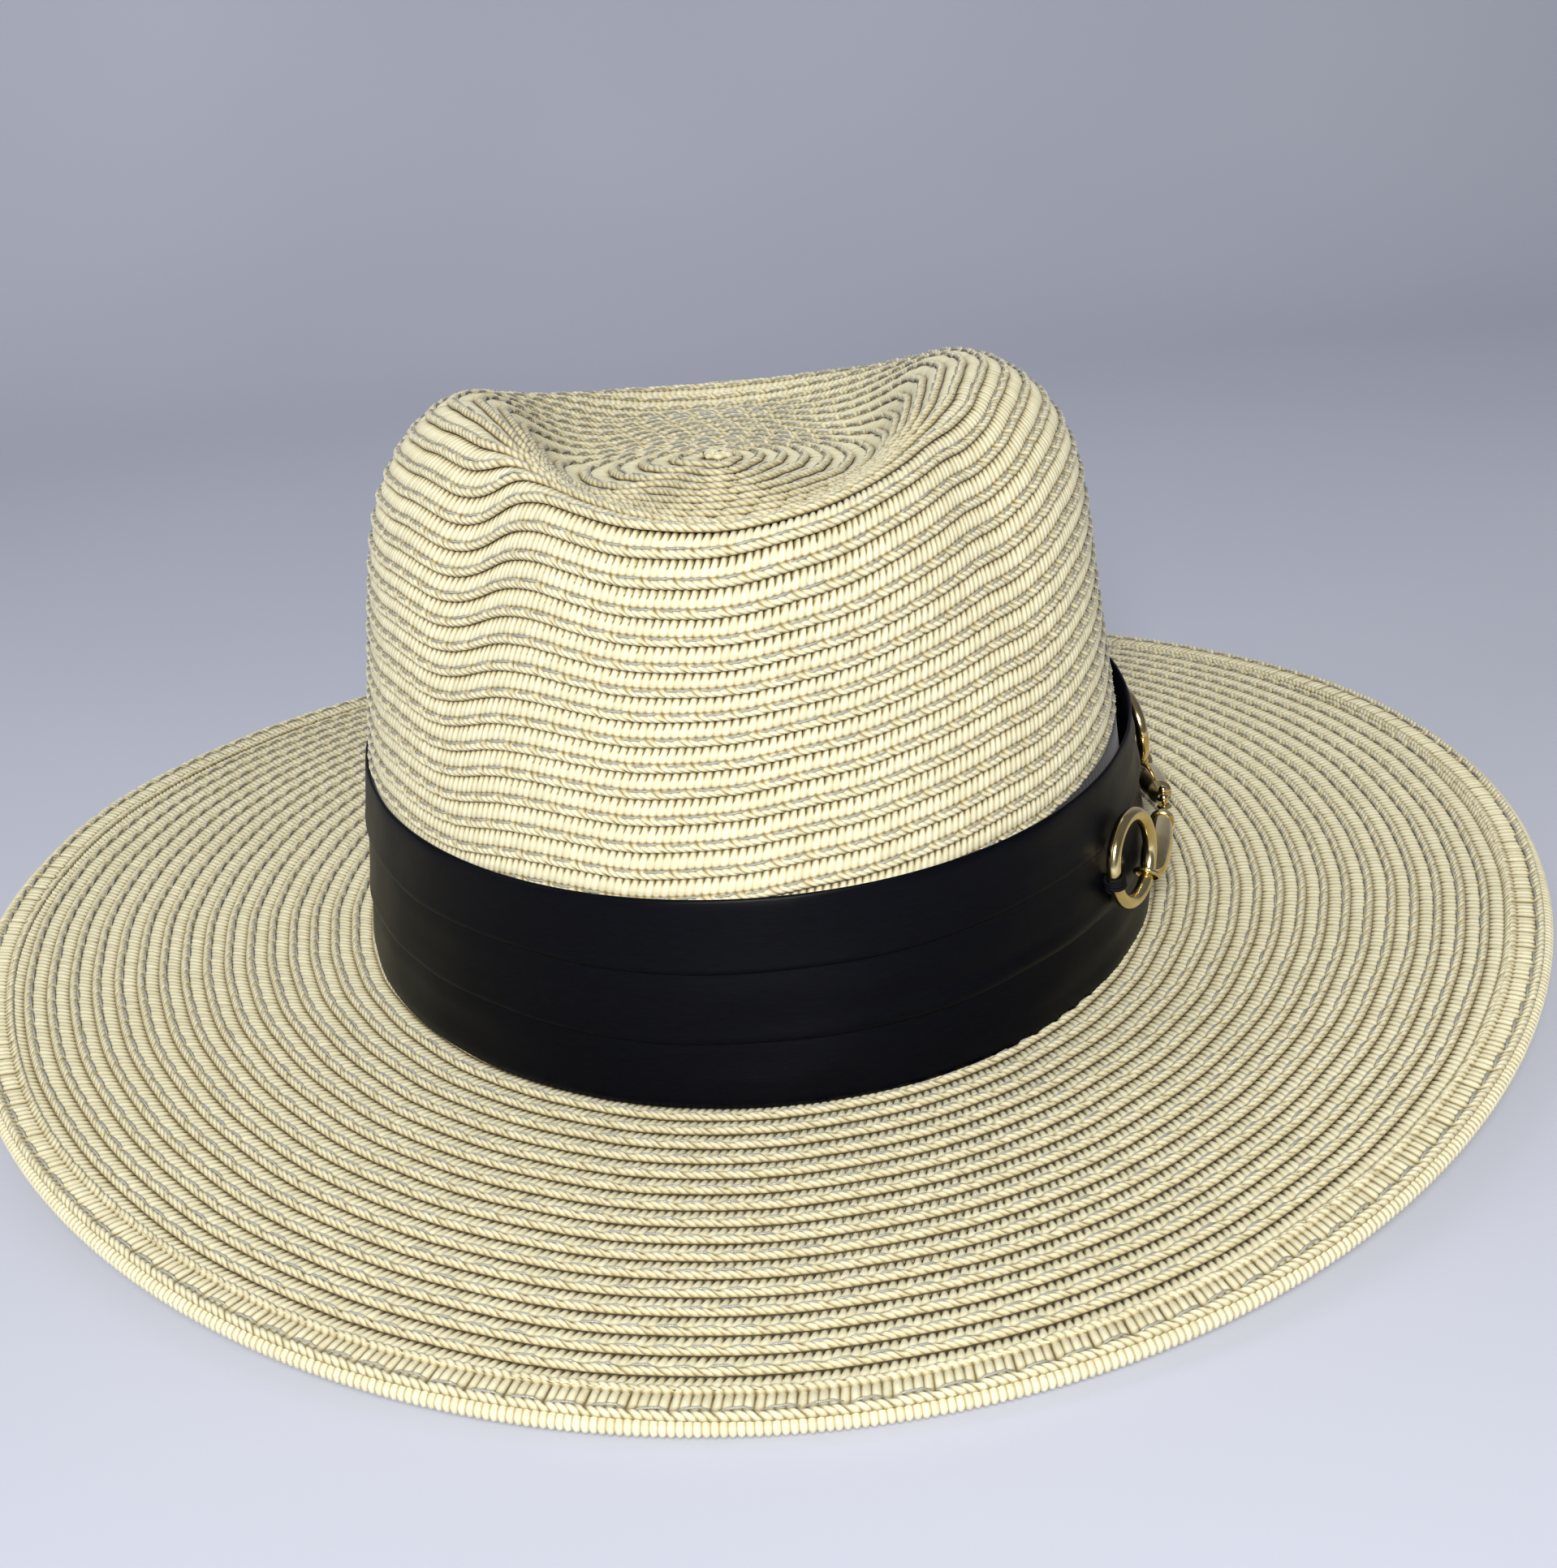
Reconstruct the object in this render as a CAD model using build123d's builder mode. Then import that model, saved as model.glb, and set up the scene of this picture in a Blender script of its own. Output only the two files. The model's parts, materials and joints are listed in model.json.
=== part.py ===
from build123d import *
import math
import os

# A wide-brimmed straw sun hat, in millimetres.
# +Z is up, the front of the hat faces -Y and the wearer's left is +X.
# The origin is on the surface that the brim stands on, under the middle of the hat.

# Head opening: the outer face of the braid is an oval at the break, where the crown meets the brim.
HEAD_HALF_WIDTH = 84.6
HEAD_HALF_LENGTH = 102.4
BRAID_THICKNESS = 1.8

# Lower crown, the straight part that the band covers.
BAND_HEIGHT = 41.7
WALL_LEAN = 3.3

# Upper crown, from the top of the band over the crest to the bottom of the dent.
CREST_HALF_WIDTH = 52.0
CREST_FRONT = 89.5
CREST_BACK = 80.0
CREST_HEIGHT = 101.3
CREST_SLOPE = -0.068
RIDGE_RISE = 13.6
DENT_HALF_WIDTH = 33.0
DENT_FRONT = 56.0
DENT_BACK = 52.0
DENT_HEIGHT = 95.5
DENT_SLOPE = -0.06
TIP_BACK = 10.0
LEFT_PINCH = (232.0, 10.0, 4.5)
RIGHT_PINCH = (306.0, 9.0, 3.0)
RIDGE_ROUNDING = 0.02
RIDGE_SHIFT = 0.5
# How far the crown's face lies in or out, and down, at the sides, the front and the back.
WALL_IN = (4.0, 4.0, 6.5)
SHOULDER_OUT = (18.9, 5.0, 9.5)
SHOULDER_DROP = (11.0, 7.0, 7.5)
LIP_IN = (8.5, 9.0, 8.0)
LIP_DROP = (4.5, 2.2, 2.5)
# The wearer's right side is a little flatter than the left.
RIGHT_WALL_IN = 0.8
RIGHT_SHOULDER_IN = 2.4
PINCH_AT_WALL = 0.25
PINCH_AT_SHOULDER = 0.8
# The rings of the dent sit further back towards the tip, and the outer one a little higher.
LIP_BACK = 1.0
DENT_RING_BACK = 6.0
DENT_RING_RISE = 1.0
INNER_RING_BACK = 9.0
START_RADIUS = 3.0
RING_POINTS = 32
RINGS_PER_SPAN = 2

# Brim: its width and the height of its edge above the break, at the front and back and at the sides.
BRIM_LENGTHWISE = 83.0
BRIM_SIDEWISE = 85.0
EDGE_HEIGHT_LENGTHWISE = -6.2
EDGE_HEIGHT_SIDEWISE = 6.5
BRIM_CURVE = 1.5
BRIM_STATIONS = 6

# The second row of braid that stiffens the brim's edge from below.
EDGE_BRAID_INSIDE = 5.0
EDGE_BRAID_OUTSIDE = 1.2
EDGE_BRAID_THICKNESS = 1.7

# The break is as high as it must be for the front and back of the edge braid to stand on Z = 0.
EDGE_REACH = 1 + EDGE_BRAID_OUTSIDE / BRIM_LENGTHWISE
EDGE_DROP = -EDGE_HEIGHT_LENGTHWISE * EDGE_REACH**BRIM_CURVE
BREAK_HEIGHT = EDGE_DROP + BRAID_THICKNESS + EDGE_BRAID_THICKNESS

# Hat band: a stiff backing ribbon and a pleated satin cloth over it.
BACKING_GAP = 0.2
BACKING_THICKNESS = 0.5
BACKING_MARGIN = 1.5
CLOTH_GAP = 0.8
CLOTH_THICKNESS = 0.5
PLEATS = 3
PLEAT_STEP = 0.5
BAND_BULK = CLOTH_GAP + CLOTH_THICKNESS + PLEAT_STEP
# The satin stands off the crown on the wearer's left, under the ornament.
BAND_EASE = 2.6
BAND_EASE_LENGTHWISE = 1.0

# Sweatband inside the head opening, with its row of stitching.
SWEATBAND_GAP = 0.25
SWEATBAND_THICKNESS = 0.9
SWEATBAND_BASE = 0.6
SWEATBAND_TOP = 30.6
SEAM_BASE = 3.0
SEAM_TOP = 3.8
SEAM_DEPTH = 0.35

# Ornament on the wearer's left: two rings sewn to the band, and a bar jointed at its middle between them.
FRONT_RING_Y = -57.0
REAR_RING_Y = 12.0
RINGS_HEIGHT = 22.0
RING_RADIUS = 8.95
RING_TUBE = 1.45
RING_STANDOFF = 2.9
RING_TURN = 7.0
EYE_ANGLE = 45.0
EYE_RADIUS = 2.45
EYE_TUBE = 0.5
LINK_Y = -23.0
LINK_HEIGHT = 18.0
LINK_STANDOFF = 4.8
PIN_HALF_SPACING = 2.3
PIN_RADIUS = 0.6
PIN_CLEARANCE = 0.08
PIN_EYE_TUBE = 0.45
BRIDGE_FROM = 0.75
BRIDGE_THICKNESS = 0.6
BEAD_RADIUS = 0.95
BEAD_HEIGHT = 2.0
STEM_RADIUS = 0.8
BULB_FROM = 1.6
BULB_WIDEST = 6.2
BULB_RADIUS = 2.95
COLLAR_BACK = 6.4
COLLAR_LENGTH = 1.1
COLLAR_RADIUS = 2.6
WAIST_RADIUS = 2.2
LOOP_CLEARANCE = 0.35
LOOP_TUBE = 0.4
LOOP_ANGLE = 10.0


def oval_radius(half_width, half_length, angle):
    """Distance from the middle to an oval, in the direction of an angle from +X."""
    across = math.cos(angle) / half_width
    along = math.sin(angle) / half_length
    return 1.0 / math.hypot(across, along)


def bell(angle, centre, width):
    """A smooth bump of height 1, centred on an angle in degrees."""
    offset = (math.degrees(angle) - centre + 180.0) % 360.0 - 180.0
    return math.exp(-((offset / width) ** 2))


def ridge(angle):
    """How far the crest has risen: 0 at the front dip and at the back, 1 at the sides."""
    across = math.cos(angle)
    along = math.sin(angle)
    if along > 0:
        return across**2
    low = math.sqrt(RIDGE_ROUNDING)
    rise = (math.sqrt(across**2 + RIDGE_ROUNDING) - low) / (math.sqrt(1 + RIDGE_ROUNDING) - low)
    return rise * (1 - RIDGE_SHIFT * along * across**2)


def mixed(amounts, side, front, back):
    """An amount that differs between the sides, the front and the back."""
    return amounts[0] * side + amounts[1] * front + amounts[2] * back


def crown_points(angle):
    """Points of the crown's outer face in one direction, from the top of the band to the dent."""
    across = math.cos(angle)
    along = math.sin(angle)
    front = max(0.0, -along) ** 2
    back = max(0.0, along) ** 2
    side = 1 - front - back
    right_side = max(0.0, -across)
    crest_length = CREST_FRONT if along < 0 else CREST_BACK
    dent_length = DENT_FRONT if along < 0 else DENT_BACK
    pinch = 0.0
    for centre, width, depth in (LEFT_PINCH, RIGHT_PINCH):
        pinch += depth * bell(angle, centre, width)
    band_top = oval_radius(HEAD_HALF_WIDTH - WALL_LEAN, HEAD_HALF_LENGTH - WALL_LEAN, angle)
    crest = oval_radius(CREST_HALF_WIDTH, crest_length, angle)
    crest_height = CREST_HEIGHT + CREST_SLOPE * crest * along + RIDGE_RISE * ridge(angle)
    wall = band_top - mixed(WALL_IN, side, front, back)
    wall -= PINCH_AT_WALL * pinch + RIGHT_WALL_IN * right_side * side
    wall_height = (BAND_HEIGHT + crest_height) / 2
    shoulder = crest + mixed(SHOULDER_OUT, side, front, back)
    shoulder -= PINCH_AT_SHOULDER * pinch + RIGHT_SHOULDER_IN * right_side * side
    shoulder_height = crest_height - mixed(SHOULDER_DROP, side, front, back)
    lip = crest - mixed(LIP_IN, side, front, back)
    lip_height = crest_height - mixed(LIP_DROP, side, front, back)
    dent = oval_radius(DENT_HALF_WIDTH, dent_length, angle)
    dent_height = DENT_HEIGHT + DENT_SLOPE * dent * along + DENT_RING_RISE
    floor = DENT_HEIGHT + DENT_SLOPE * dent * along / 2
    rings = (
        (band_top, 0.0, BAND_HEIGHT),
        (wall, 0.0, wall_height),
        (shoulder, 0.0, shoulder_height),
        (crest, 0.0, crest_height),
        (lip, LIP_BACK, lip_height),
        (dent, DENT_RING_BACK, dent_height),
        (dent / 2, INNER_RING_BACK, floor),
    )
    return [Vector(r * across, y + r * along, BREAK_HEIGHT + z) for r, y, z in rings]


def inset_points(angle, inset):
    """The same points moved into the hat by the braid's thickness, square to the face."""
    step = math.radians(1.0)
    here = crown_points(angle)
    left = crown_points(angle - step)
    right = crown_points(angle + step)
    tip = Vector(0, TIP_BACK, BREAK_HEIGHT + DENT_HEIGHT)
    below = [Vector(here[0].X, here[0].Y, BREAK_HEIGHT)] + here[:-1]
    above = here[1:] + [tip]
    inner = []
    for i, point in enumerate(here):
        along_ring = right[i] - left[i]
        up_face = above[i] - below[i]
        outward = along_ring.cross(up_face).normalized()
        if i == 0:
            outward = Vector(outward.X, outward.Y, 0).normalized()
        inner.append(point - outward * inset)
    return inner


def smooth_column(points, tip):
    """Extra points between a column's points, on a smooth curve that passes through them."""
    chain = [points[0] * 2 - points[1]] + points + [tip, tip * 2 - points[-1]]
    column = []
    for before, start, end, after in zip(chain, chain[1:], chain[2:], chain[3:]):
        for step in range(RINGS_PER_SPAN):
            u = step / RINGS_PER_SPAN
            column.append(
                start * (2 * u**3 - 3 * u**2 + 1)
                + end * (3 * u**2 - 2 * u**3)
                + (end - before) * (u**3 - 2 * u**2 + u) / 2
                + (after - start) * (u**3 - u**2) / 2
            )
    return column


def closed_ring(points):
    """A closed smooth wire through the points."""
    with BuildLine() as ring:
        Spline(*points, periodic=True)
    return ring.line.wires()[0]


def turn_angles():
    """Directions evenly spaced around the hat."""
    return [2 * math.pi * i / RING_POINTS for i in range(RING_POINTS)]


def foot_point(angle, half_width, half_length):
    """A point of the oval at the break."""
    radius = oval_radius(half_width, half_length, angle)
    return Vector(radius * math.cos(angle), radius * math.sin(angle), BREAK_HEIGHT)


def crown_loft(inset):
    """A closed solid under the crown's face, moved in by an inset."""
    tip = Vector(0, TIP_BACK, BREAK_HEIGHT + DENT_HEIGHT - inset)
    columns = [smooth_column(inset_points(angle, inset), tip) for angle in turn_angles()]
    foot_width = HEAD_HALF_WIDTH - inset
    foot_length = HEAD_HALF_LENGTH - inset
    foot = [foot_point(angle, foot_width, foot_length) for angle in turn_angles()]
    sections = [closed_ring(foot)] + [closed_ring(level) for level in zip(*columns)]
    start = []
    for angle in turn_angles():
        start.append(tip + Vector(math.cos(angle), math.sin(angle), 0) * START_RADIUS)
    sections.append(closed_ring(start))
    return Solid.make_loft(sections, ruled=True)


def lean(height):
    """How far the lower crown's wall has moved in at a height above the break."""
    return WALL_LEAN * height / BAND_HEIGHT


def oval_core(low, high, low_bulk, high_bulk, ease=0.0, longer=0.0):
    """A leaning oval column between two heights above the break, its face set out from the wall."""
    with BuildPart() as core:
        for height, bulk in ((low, low_bulk), (high, high_bulk)):
            grown = bulk - lean(height)
            with BuildSketch(Plane.XY.offset(BREAK_HEIGHT + height)):
                with Locations((ease / 2, 0)):
                    Ellipse(HEAD_HALF_WIDTH + ease / 2 + grown, HEAD_HALF_LENGTH + longer + grown)
        loft(ruled=True)
    return core.part


def brim_point(angle, share, drop):
    """A point of the brim: share 0 is at the break and 1 at the edge, drop is below the upper face."""
    lengthwise = math.sin(angle) ** 2
    width = BRIM_SIDEWISE + (BRIM_LENGTHWISE - BRIM_SIDEWISE) * lengthwise
    edge = EDGE_HEIGHT_SIDEWISE + (EDGE_HEIGHT_LENGTHWISE - EDGE_HEIGHT_SIDEWISE) * lengthwise
    radius = oval_radius(HEAD_HALF_WIDTH, HEAD_HALF_LENGTH, angle) + width * share
    height = BREAK_HEIGHT + edge * max(0.0, share) ** BRIM_CURVE - drop
    return Vector(radius * math.cos(angle), radius * math.sin(angle), height)


def brim_ring(share, drop):
    """A closed wire around the brim."""
    return closed_ring([brim_point(angle, share, drop) for angle in turn_angles()])


def brim_loft(shares, top, bottom):
    """A ring-shaped solid of the brim between two depths under its upper face."""
    upper = [brim_ring(share, top) for share in shares]
    lower = [brim_ring(share, bottom) for share in reversed(shares)]
    return Solid.make_loft(upper + lower + upper[:1], ruled=True)


def outside(point_y, height, standoff):
    """A plane on the band's left face: x runs to the back along the band, z stands out from it."""
    half_width = HEAD_HALF_WIDTH + BAND_EASE / 2 + BAND_BULK - lean(height)
    half_length = HEAD_HALF_LENGTH + BAND_EASE_LENGTHWISE + BAND_BULK - lean(height)
    x = half_width * math.sqrt(1 - (point_y / half_length) ** 2)
    tilt = WALL_LEAN / BAND_HEIGHT
    normal = Vector(x / half_width**2, point_y / half_length**2, 0).normalized()
    normal = (normal + Vector(0, 0, tilt)).normalized()
    back = Vector(0, 0, 1).cross(normal).normalized()
    origin = Vector(BAND_EASE / 2 + x, point_y, BREAK_HEIGHT + height) + normal * standoff
    return Plane(origin=origin, x_dir=back, z_dir=normal)


def ornament_parts(ring_y, side):
    """The planes of one half of the ornament and its eye's tip: side is 1 at the front, -1 at the rear."""
    flat = outside(ring_y, RINGS_HEIGHT, RING_STANDOFF)
    turn = math.radians(side * RING_TURN)
    ring_plane = Plane(
        origin=flat.origin,
        x_dir=flat.x_dir * math.cos(turn) + flat.z_dir * math.sin(turn),
        z_dir=flat.z_dir * math.cos(turn) - flat.x_dir * math.sin(turn),
    )
    eye_turn = math.radians(EYE_ANGLE)
    eye = Vector(side * RING_RADIUS * math.cos(eye_turn), -RING_RADIUS * math.sin(eye_turn), 0)
    tangent = Vector(side * math.sin(eye_turn), math.cos(eye_turn), 0)
    loop_turn = math.radians(LOOP_ANGLE)
    loop = Vector(-side * RING_RADIUS * math.cos(loop_turn), -RING_RADIUS * math.sin(loop_turn), 0)
    loop_tangent = Vector(-side * math.sin(loop_turn), math.cos(loop_turn), 0)
    eye_plane = Plane(origin=ring_plane.from_local_coords(eye), z_dir=turned(ring_plane, tangent))
    loop_plane = Plane(origin=ring_plane.from_local_coords(loop), z_dir=turned(ring_plane, loop_tangent))
    eye_tip = ring_plane.from_local_coords(eye * (1 + EYE_RADIUS / RING_RADIUS))
    return ring_plane, eye_plane, loop_plane, eye_tip


def turned(plane, direction):
    """A direction given in a plane's own axes, in the hat's axes."""
    return plane.x_dir * direction.X + plane.y_dir * direction.Y + plane.z_dir * direction.Z


def torus_on(plane, radius, tube):
    """A round ring that lies in a plane."""
    with BuildPart(plane) as ring:
        Torus(radius, tube)
    return ring.part


def shank(eye_tip, pin_centre):
    """The turned body of a bar: stem, bulb, collar and neck, from the ring's eye to the pin's eye."""
    reach = (pin_centre - eye_tip).length
    along = (pin_centre - eye_tip).normalized()
    aside = along.cross(Vector(0, 0, 1)).normalized()
    section = Plane(origin=eye_tip, x_dir=aside, z_dir=aside.cross(along))
    collar_from = reach - COLLAR_BACK
    collar_to = collar_from + COLLAR_LENGTH
    neck_to = reach - PIN_RADIUS - PIN_CLEARANCE - PIN_EYE_TUBE
    with BuildPart() as body:
        with BuildSketch(section):
            with BuildLine():
                Polyline((0, 0), (STEM_RADIUS, 0), (STEM_RADIUS, BULB_FROM))
                Spline(
                    (STEM_RADIUS, BULB_FROM),
                    (BULB_RADIUS, BULB_WIDEST),
                    (WAIST_RADIUS, collar_from),
                    tangents=((1.0, 0.35), (-0.15, 1.0)),
                )
                Polyline(
                    (WAIST_RADIUS, collar_from),
                    (COLLAR_RADIUS, collar_from),
                    (COLLAR_RADIUS, collar_to),
                    (STEM_RADIUS, collar_to + COLLAR_LENGTH),
                    (STEM_RADIUS, neck_to),
                    (0, neck_to),
                    (0, 0),
                )
            make_face()
        revolve(axis=Axis(eye_tip, along))
    return body.part


# Crown: the dented top and the straight wall under it, one shell of sewn braid.
crown_outside = crown_loft(0.0)
crown_inside = crown_loft(BRAID_THICKNESS)
with BuildPart() as crown_braid:
    add(crown_outside)
    add(crown_inside, mode=Mode.SUBTRACT)

# Brim: a ring of braid that curves down to the front and back and up at the sides.
inner_share = -BRAID_THICKNESS / BRIM_LENGTHWISE
brim_shares = [inner_share] + [station / BRIM_STATIONS for station in range(BRIM_STATIONS + 1)]
brim_solid = brim_loft(brim_shares, 0.0, BRAID_THICKNESS)
with BuildPart() as brim_braid:
    add(brim_solid)

# Edge braid: one more row, sewn under the brim's edge and standing out past it.
edge_shares = [1 - EDGE_BRAID_INSIDE / BRIM_LENGTHWISE, EDGE_REACH]
edge_solid = brim_loft(edge_shares, BRAID_THICKNESS, BRAID_THICKNESS + EDGE_BRAID_THICKNESS)
with BuildPart() as brim_edge_braid:
    add(edge_solid)

# Band backing: a stiff ribbon against the crown.
backing_top = BAND_HEIGHT - BACKING_MARGIN
backing_face = BACKING_GAP + BACKING_THICKNESS
backing_outside = oval_core(BACKING_MARGIN, backing_top, backing_face, backing_face)
backing_inside = oval_core(BACKING_MARGIN, backing_top, BACKING_GAP, BACKING_GAP)
with BuildPart() as band_backing:
    add(backing_outside)
    add(backing_inside, mode=Mode.SUBTRACT)

# Hat band: satin in pleats, each flaring out to the fold at its lower edge.
band_cores = []
for pleat in range(PLEATS):
    low = BAND_HEIGHT * pleat / PLEATS
    high = BAND_HEIGHT * (pleat + 1) / PLEATS
    fold, crease = BAND_BULK, BAND_BULK - PLEAT_STEP
    band_cores.append(oval_core(low, high, fold, crease, BAND_EASE, BAND_EASE_LENGTHWISE))
band_inside = oval_core(0.0, BAND_HEIGHT, CLOTH_GAP, CLOTH_GAP, BAND_EASE, BAND_EASE_LENGTHWISE)
with BuildPart() as hat_band:
    for band_core in band_cores:
        add(band_core)
    add(band_inside, mode=Mode.SUBTRACT)

# Sweatband: a ribbon around the inside of the head opening.
sweatband_face = -BRAID_THICKNESS - SWEATBAND_GAP
sweatband_back = sweatband_face - SWEATBAND_THICKNESS
sweatband_outside = oval_core(SWEATBAND_BASE, SWEATBAND_TOP, sweatband_face, sweatband_face)
sweatband_inside = oval_core(SWEATBAND_BASE, SWEATBAND_TOP, sweatband_back, sweatband_back)
with BuildPart() as sweatband:
    add(sweatband_outside)
    add(sweatband_inside, mode=Mode.SUBTRACT)

# Sweatband seam: the row of stitching that holds it.
seam_face = sweatband_back - SEAM_DEPTH
seam_outside = oval_core(SEAM_BASE, SEAM_TOP, sweatband_back, sweatband_back)
seam_inside = oval_core(SEAM_BASE, SEAM_TOP, seam_face, seam_face)
with BuildPart() as sweatband_seam:
    add(seam_outside)
    add(seam_inside, mode=Mode.SUBTRACT)

# Centre link: two upright pins between two bridges, with a bead on each end of each pin.
link_face = outside(LINK_Y, LINK_HEIGHT, LINK_STANDOFF)
link_plane = Plane(origin=link_face.origin, x_dir=link_face.x_dir, z_dir=link_face.y_dir)
with BuildPart(link_plane) as centre_link:
    with Locations((-PIN_HALF_SPACING, 0, 0), (PIN_HALF_SPACING, 0, 0)):
        Cylinder(PIN_RADIUS, 2 * BEAD_HEIGHT)
    for bridge_middle in (-BRIDGE_FROM - BRIDGE_THICKNESS / 2, BRIDGE_FROM + BRIDGE_THICKNESS / 2):
        with Locations((0, 0, bridge_middle)):
            Box(2 * PIN_HALF_SPACING, 2 * PIN_RADIUS, BRIDGE_THICKNESS)
    for bead_height in (-BEAD_HEIGHT, BEAD_HEIGHT):
        with Locations((-PIN_HALF_SPACING, 0, bead_height), (PIN_HALF_SPACING, 0, bead_height)):
            Sphere(BEAD_RADIUS)

# Rings, bars and the thread loops that hold the rings to the band, front and rear.
finished = {
    "crown_braid": crown_braid.part,
    "brim_braid": brim_braid.part,
    "brim_edge_braid": brim_edge_braid.part,
    "band_backing": band_backing.part,
    "hat_band": hat_band.part,
    "sweatband": sweatband.part,
    "sweatband_seam": sweatband_seam.part,
    "centre_link": centre_link.part,
}
for place, ring_y, side in (("front", FRONT_RING_Y, 1), ("rear", REAR_RING_Y, -1)):
    ring_plane, eye_plane, loop_plane, eye_tip = ornament_parts(ring_y, side)
    pin_centre = link_face.from_local_coords((-side * PIN_HALF_SPACING, 0, 0))
    pin_plane = Plane(origin=pin_centre, z_dir=link_plane.z_dir)
    outer_eye = torus_on(eye_plane, EYE_RADIUS, EYE_TUBE)
    pin_eye = torus_on(pin_plane, PIN_RADIUS + PIN_CLEARANCE + PIN_EYE_TUBE, PIN_EYE_TUBE)
    body = shank(eye_tip, pin_plane.origin)
    thread = torus_on(loop_plane, RING_TUBE + LOOP_CLEARANCE + LOOP_TUBE, LOOP_TUBE)
    with BuildPart() as ring:
        add(torus_on(ring_plane, RING_RADIUS, RING_TUBE))
    with BuildPart() as bar:
        add(body)
        add(outer_eye)
        add(pin_eye)
    with BuildPart() as thread_loop:
        add(thread)
        for band_core in band_cores:
            add(band_core, mode=Mode.SUBTRACT)
    finished["ring_" + place] = ring.part
    finished["bar_" + place] = bar.part
    finished["thread_loop_" + place] = thread_loop.part

os.makedirs("parts", exist_ok=True)
for name, part in finished.items():
    part.label = name
    export_step(part, "parts/" + name + ".step")
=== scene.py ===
import json
import math

import bpy
import numpy as np
from mathutils import Matrix, Vector


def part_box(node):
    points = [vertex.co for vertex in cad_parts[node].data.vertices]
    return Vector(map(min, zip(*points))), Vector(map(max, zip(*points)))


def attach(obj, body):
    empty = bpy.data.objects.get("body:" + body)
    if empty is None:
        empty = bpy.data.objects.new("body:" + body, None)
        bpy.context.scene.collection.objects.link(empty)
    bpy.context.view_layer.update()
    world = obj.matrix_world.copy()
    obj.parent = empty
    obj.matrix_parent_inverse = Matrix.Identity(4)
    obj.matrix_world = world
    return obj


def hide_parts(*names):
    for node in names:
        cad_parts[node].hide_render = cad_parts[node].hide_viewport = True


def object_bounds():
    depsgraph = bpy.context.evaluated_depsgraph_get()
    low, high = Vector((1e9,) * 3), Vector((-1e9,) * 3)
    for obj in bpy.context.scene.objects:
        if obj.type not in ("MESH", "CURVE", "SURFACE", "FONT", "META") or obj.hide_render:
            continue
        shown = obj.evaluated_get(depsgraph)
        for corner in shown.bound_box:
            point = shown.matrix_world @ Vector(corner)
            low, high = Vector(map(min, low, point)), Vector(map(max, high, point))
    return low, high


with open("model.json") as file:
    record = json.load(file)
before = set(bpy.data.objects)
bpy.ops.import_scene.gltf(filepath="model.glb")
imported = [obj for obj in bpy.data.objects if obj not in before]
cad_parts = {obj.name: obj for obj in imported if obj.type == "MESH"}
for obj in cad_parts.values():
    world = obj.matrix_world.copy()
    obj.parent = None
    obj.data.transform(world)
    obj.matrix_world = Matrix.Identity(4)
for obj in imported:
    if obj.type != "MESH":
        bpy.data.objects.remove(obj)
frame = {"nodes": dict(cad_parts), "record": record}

CAD_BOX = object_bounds()
MM = 0.001
RANDOM = np.random.default_rng(11)
TURN = 2 * math.pi

# The hat's form, in millimetres, with heights above the break where the crown meets the brim.
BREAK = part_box("hat_band")[0].z / MM
HALF_WIDTH, HALF_LENGTH = 84.6, 102.4
BAND_HEIGHT, WALL_LEAN = 41.7, 3.3
BRIM_LENGTHWISE, BRIM_SIDEWISE = 83.0, 85.0
EDGE_LENGTHWISE, EDGE_SIDEWISE = -6.2, 6.5
CREST_HALF_WIDTH, CREST_FRONT, CREST_BACK = 52.0, 89.5, 80.0
CREST_HEIGHT, CREST_SLOPE, RIDGE_RISE = 101.3, -0.068, 13.6
DENT_HEIGHT, DENT_SLOPE, TIP_BACK = 95.5, -0.06, 10.0
CROWN_ROWS, BRIM_ROWS = 36, 18
BRIM_PITCH = 4.5
BRAID_THICKNESS = 1.8
BAND_EASE, BAND_LONGER = 2.6, 1.0


# ---------------------------------------------------------------- the hat's surface

def oval(half_width, half_length, turn):
    return 1 / np.sqrt((np.cos(turn) / half_width) ** 2 + (np.sin(turn) / half_length) ** 2)


def smooth(x):
    x = np.clip(x, 0, 1)
    return x * x * (3 - 2 * x)


def bell(turn, centre, width):
    away = (np.degrees(turn) - centre + 180) % 360 - 180
    return np.exp(-((away / width) ** 2))


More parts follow.
